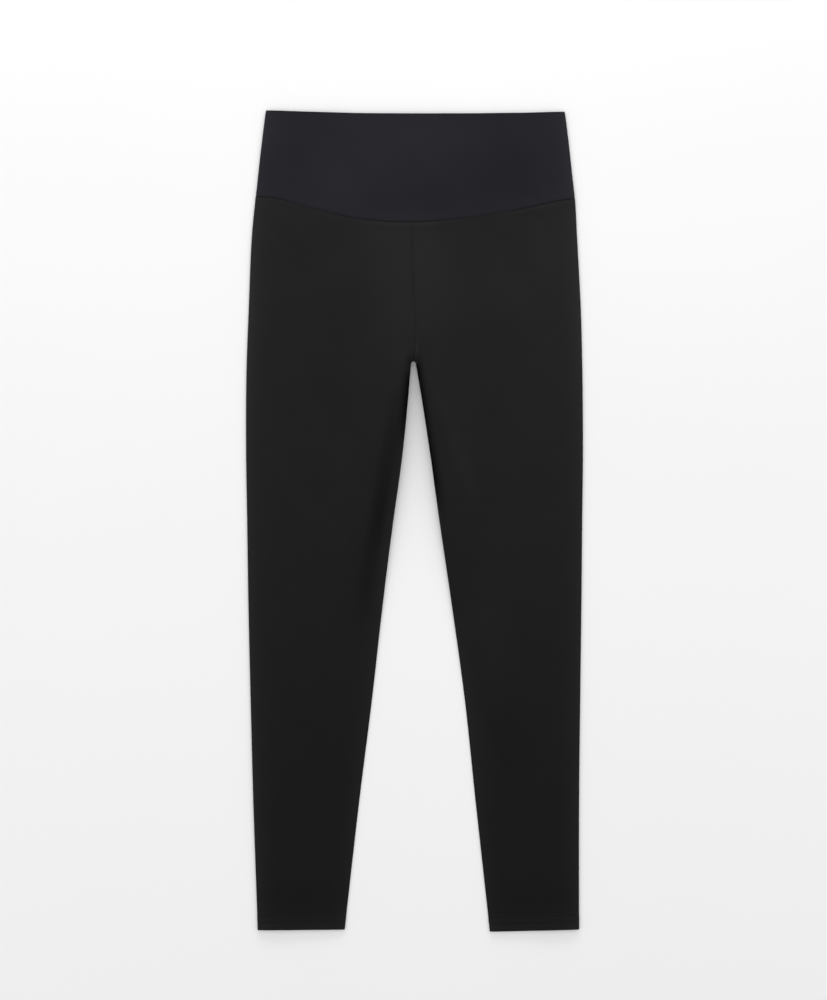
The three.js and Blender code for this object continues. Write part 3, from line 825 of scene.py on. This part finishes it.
def waistband(layer, name, coat):
    """One half of the waistband: doubled cloth with a folded top, from side seam to side seam."""
    grid = band_layer(layer)
    x, y = grid[..., 0], grid[..., 1]
    flip = layer == "back"
    normal = outward(grid, flip)
    from_start = run_along(grid, 1)
    to_edge = np.minimum(from_start, from_start[:, -1:] - from_start)
    from_top = run_along(grid, 0)
    to_seam = from_top[-1:] - from_top
    work = -lip(to_edge) * SIDE_LIP - lip(to_seam) * waist_pull(x)
    work += puckers(to_seam, x, 7) + puckers(to_edge, y, 9)
    work += BAND_SEAM_RIDGE["height"] * on_top(normal) * ridge_beside(to_seam, BAND_SEAM_RIDGE)
    outer, inner = both_faces(grid, normal, work, TWO_PLIES, rounded(from_top, ROUND_END[-1]))
    states = {
        "near_seam": nearness(to_edge, to_seam),
        "painted_light": painted_light_of(x, y, to_edge),
        "thigh_shade": np.zeros(x.shape),
    }
    return cloth_shell(name, outer, inner, coat, from_start, CROTCH_Y - y, states, flip)


class Wire:
    """One value in a material. Python's operators on it add Math nodes."""

    def __init__(self, tree, socket=None):
        self.tree = tree
        self.socket = socket

    def feed(self, node, inputs):
        """Sets the sockets of a node to their values, or links them."""
        for key, value in inputs.items():
            if isinstance(value, Wire):
                self.tree.links.new(value.socket, node.inputs[key])
            else:
                node.inputs[key].default_value = value

    def node(self, kind, settings=None, inputs=None, output=0):
        """Adds any other node: its settings first, then the values or links of its sockets."""
        made = self.tree.nodes.new(kind)
        for setting, value in (settings or {}).items():
            setattr(made, setting, value)
        self.feed(made, inputs or {})
        return Wire(self.tree, made.outputs[output])

    def beside(self, output):
        """Another output of the same node."""
        return Wire(self.tree, self.socket.node.outputs[output])

    def math(self, operation, *values):
        numbered = {i: value for i, value in enumerate(values)}
        return self.node("ShaderNodeMath", {"operation": operation}, numbered)

    def __add__(self, other):
        return self.math("ADD", self, other)

    def __radd__(self, other):
        return self.math("ADD", other, self)

    def __sub__(self, other):
        return self.math("SUBTRACT", self, other)

    def __rsub__(self, other):
        return self.math("SUBTRACT", other, self)

    def __mul__(self, other):
        return self.math("MULTIPLY", self, other)

    def __rmul__(self, other):
        return self.math("MULTIPLY", other, self)

    def __truediv__(self, other):
        return self.math("DIVIDE", self, other)

    def __rtruediv__(self, other):
        return self.math("DIVIDE", other, self)

    def cosine(self):
        return self.math("COSINE", self)

    def fraction(self):
        return self.math("FRACT", self)

    def size(self):
        return self.math("ABSOLUTE", self)


def new_finish(name):
    """A new material: itself, a first wire in it, its shader, and the output the shader ends in."""
    finish = bpy.data.materials.new(name)
    finish.use_nodes = True
    tree = finish.node_tree
    tree.nodes.clear()
    shader = tree.nodes.new("ShaderNodeBsdfPrincipled")
    output = tree.nodes.new("ShaderNodeOutputMaterial")
    tree.links.new(shader.outputs[0], output.inputs["Surface"])
    return finish, Wire(tree), shader, output


def tint(wire, colour, change):
    """A colour made lighter or darker by a factor around 1."""
    return wire.node("ShaderNodeVectorMath", {"operation": "SCALE"}, {0: colour, "Scale": change})


def cloth_state(wire, state):
    """One of the states that the cloth has at each point."""
    return wire.node("ShaderNodeAttribute", {"attribute_name": state}, output="Fac")


def jersey(name, colour, sheen):
    """Fine stretch jersey: V loops with painted shade between them, a soft matt face, faintly uneven
    dye. Where the inner thighs carry painted shade it is plain deep black."""
    finish, start, shader, output = new_finish(name)
    cloth_map = start.node("ShaderNodeUVMap", {"uv_map": "cloth"})
    across_cloth = start.node("ShaderNodeSeparateXYZ", {}, {0: cloth_map}, output="X")
    along_cloth = across_cloth.beside("Y")
    place = start.node("ShaderNodeTexCoord", output="Object")

    turn = 2 * math.pi
    column = (across_cloth / (WALE * MM)).fraction() - 0.5
    from_middle = column.size() * 2
    loops = ((along_cloth / (COURSE * MM) + from_middle * LOOP_SLANT) * turn).cosine() * 0.5 + 0.5
    ribs = (from_middle * turn).cosine() * -0.5 + 0.5
    knit = ribs * (loops * LOOP_DEPTH + (1 - LOOP_DEPTH))
    fuzz = start.node("ShaderNodeTexNoise", {}, {"Vector": place, **FUZZ})
    mottle = start.node("ShaderNodeTexNoise", {}, {"Vector": place, **MOTTLE})

    # The knit term here is painted shade in the hollows between the loops
    dye_and_knit_shade = DYE_AND_KNIT_SHADE["plain"] + mottle * DYE_AND_KNIT_SHADE["mottle"] + fuzz * DYE_AND_KNIT_SHADE["fuzz"] + knit * DYE_AND_KNIT_SHADE["knit"]
    dye_and_knit_shade = dye_and_knit_shade - cloth_state(start, "near_seam") * DYE_AND_KNIT_SHADE["sewn"]
    height = knit * RELIEF["knit"] + fuzz * RELIEF["fuzz"]
    relief = {"Height": height, "Strength": 0.35, "Distance": 0.12 * MM}
    start.feed(shader, {
        "Base Color": tint(start, colour, dye_and_knit_shade * cloth_state(start, "painted_light")),
        "Roughness": ROUGH["plain"] + fuzz * ROUGH["fuzz"] - knit * ROUGH["knit"],
        "Normal": start.node("ShaderNodeBump", {}, relief),
        "Specular IOR Level": 0.1,
        "Sheen Weight": sheen,
        "Sheen Roughness": 0.42,
        "Sheen Tint": SHEEN_TINT,
    })

    # Painted shade: where the inner-thigh shade share is 1, a plain deep black finish takes over
    thigh_shade_finish = {"Base Color": THIGH_SHADE_BLACK, "Roughness": 1.0, "Specular IOR Level": 0.0}
    thigh_shade_cloth = start.node("ShaderNodeBsdfPrincipled", {}, thigh_shade_finish)
    lit_cloth = Wire(start.tree, shader.outputs[0])
    mixed = {0: cloth_state(start, "thigh_shade"), 1: lit_cloth, 2: thigh_shade_cloth}
    start.feed(output, {"Surface": start.node("ShaderNodeMixShader", {}, mixed)})
    return finish


def sewing_thread(name):
    """Black polyester thread, twisted from plies, a little glossier than the cloth."""
    finish, start, shader, _ = new_finish(name)
    cloth_map = start.node("ShaderNodeUVMap", {"uv_map": "cloth"})
    along_thread = start.node("ShaderNodeSeparateXYZ", {}, {0: cloth_map}, output="X")
    round_thread = along_thread.beside("Y")
    turn = 2 * math.pi / (TWIST_PITCH * MM)
    twist = ((along_thread + round_thread * TWIST_SLANT) * turn).cosine() * 0.5 + 0.5
    relief = {"Height": twist, "Strength": 0.5, "Distance": 0.06 * MM}
    start.feed(shader, {
        # The grooves between the plies are painted darker: painted shade
        "Base Color": tint(start, THREAD_BLACK, 0.75 + twist * 0.4),
        "Roughness": 0.5 + twist * 0.08,
        "Normal": start.node("ShaderNodeBump", {}, relief),
        "Specular IOR Level": 0.15,
    })
    return finish


def white_surface():
    """The plain pale surface that the garment lies on."""
    finish, start, shader, _ = new_finish("white_surface")
    place = start.node("ShaderNodeTexCoord", output="Object")
    cloud = start.node("ShaderNodeTexNoise", {}, {"Vector": place, "Scale": 3.0, "Detail": 2.0})
    start.feed(shader, {
        "Base Color": tint(start, SURFACE_WHITE, 0.99 + cloud * 0.02),
        "Roughness": 0.9,
        "Specular IOR Level": 0.1,
    })
    round_about = ((-1, -1), (1, -1), (1, 1), (-1, 1))
    corners = [(i * SURFACE_HALF, j * SURFACE_HALF, SURFACE_Z) for i, j in round_about]
    mesh = bpy.data.meshes.new("surface")
    mesh.from_pydata(corners, [], [(0, 1, 2, 3)])
    mesh.materials.append(finish)
    surface = bpy.data.objects.new("surface", mesh)
    bpy.context.scene.collection.objects.link(surface)


def soft_light(name, place, size, power):
    """A large rectangular soft light, aimed at the origin."""
    lamp = bpy.data.lights.new(name, "AREA")
    lamp.shape = "RECTANGLE"
    lamp.size, lamp.size_y = size
    lamp.energy = power
    light = bpy.data.objects.new(name, lamp)
    light.location = place
    towards = Vector((0.0, 0.0, 0.0)) - Vector(place)
    light.rotation_euler = towards.to_track_quat("-Z", "Y").to_euler()
    bpy.context.scene.collection.objects.link(light)


def camera_above():
    """Straight above the garment, framed as the photograph is."""
    lens = bpy.data.cameras.new("camera")
    lens.sensor_width = SENSOR_WIDTH
    lens.lens = lens.sensor_width * CAMERA_PLACE[2] / FRAME_LENGTH
    lens.clip_end = 20.0
    camera = bpy.data.objects.new("camera", lens)
    camera.location = CAMERA_PLACE
    bpy.context.scene.collection.objects.link(camera)
    bpy.context.scene.camera = camera


def daylight():
    """Even white light from all round."""
    world = bpy.data.worlds.new("studio")
    world.use_nodes = True
    sky = world.node_tree.nodes["Background"]
    sky.inputs["Color"].default_value = (1.0, 1.0, 1.0, 1.0)
    sky.inputs["Strength"].default_value = SKY_STRENGTH
    bpy.context.scene.world = world


camera_above()
white_surface()
daylight()
for name, lamp in LAMPS.items():
    soft_light(name, lamp["place"], lamp["size"], lamp["power"])

leg_jersey = jersey("leg_jersey", LEG_BLACK, LEG_SHEEN)
band_jersey = jersey("band_jersey", BAND_BLACK, BAND_SHEEN)
thread = sewing_thread("black_thread")

for side, node in ((RIGHT, "leg_right"), (LEFT, "leg_left")):
    panel, stitches = leg(side, node + "_cloth", leg_jersey, thread)
    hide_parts(node)
    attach(panel, "root")
    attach(stitches, "root")

for layer, length, area in (("front", 0.123, 0.0385), ("back", 0.105, 0.0345)):
    band = waistband(layer, "waistband_" + layer + "_cloth", band_jersey)
    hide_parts("waistband_" + layer)
    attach(band, "root")

bpy.context.scene.view_settings.view_transform = "Standard"
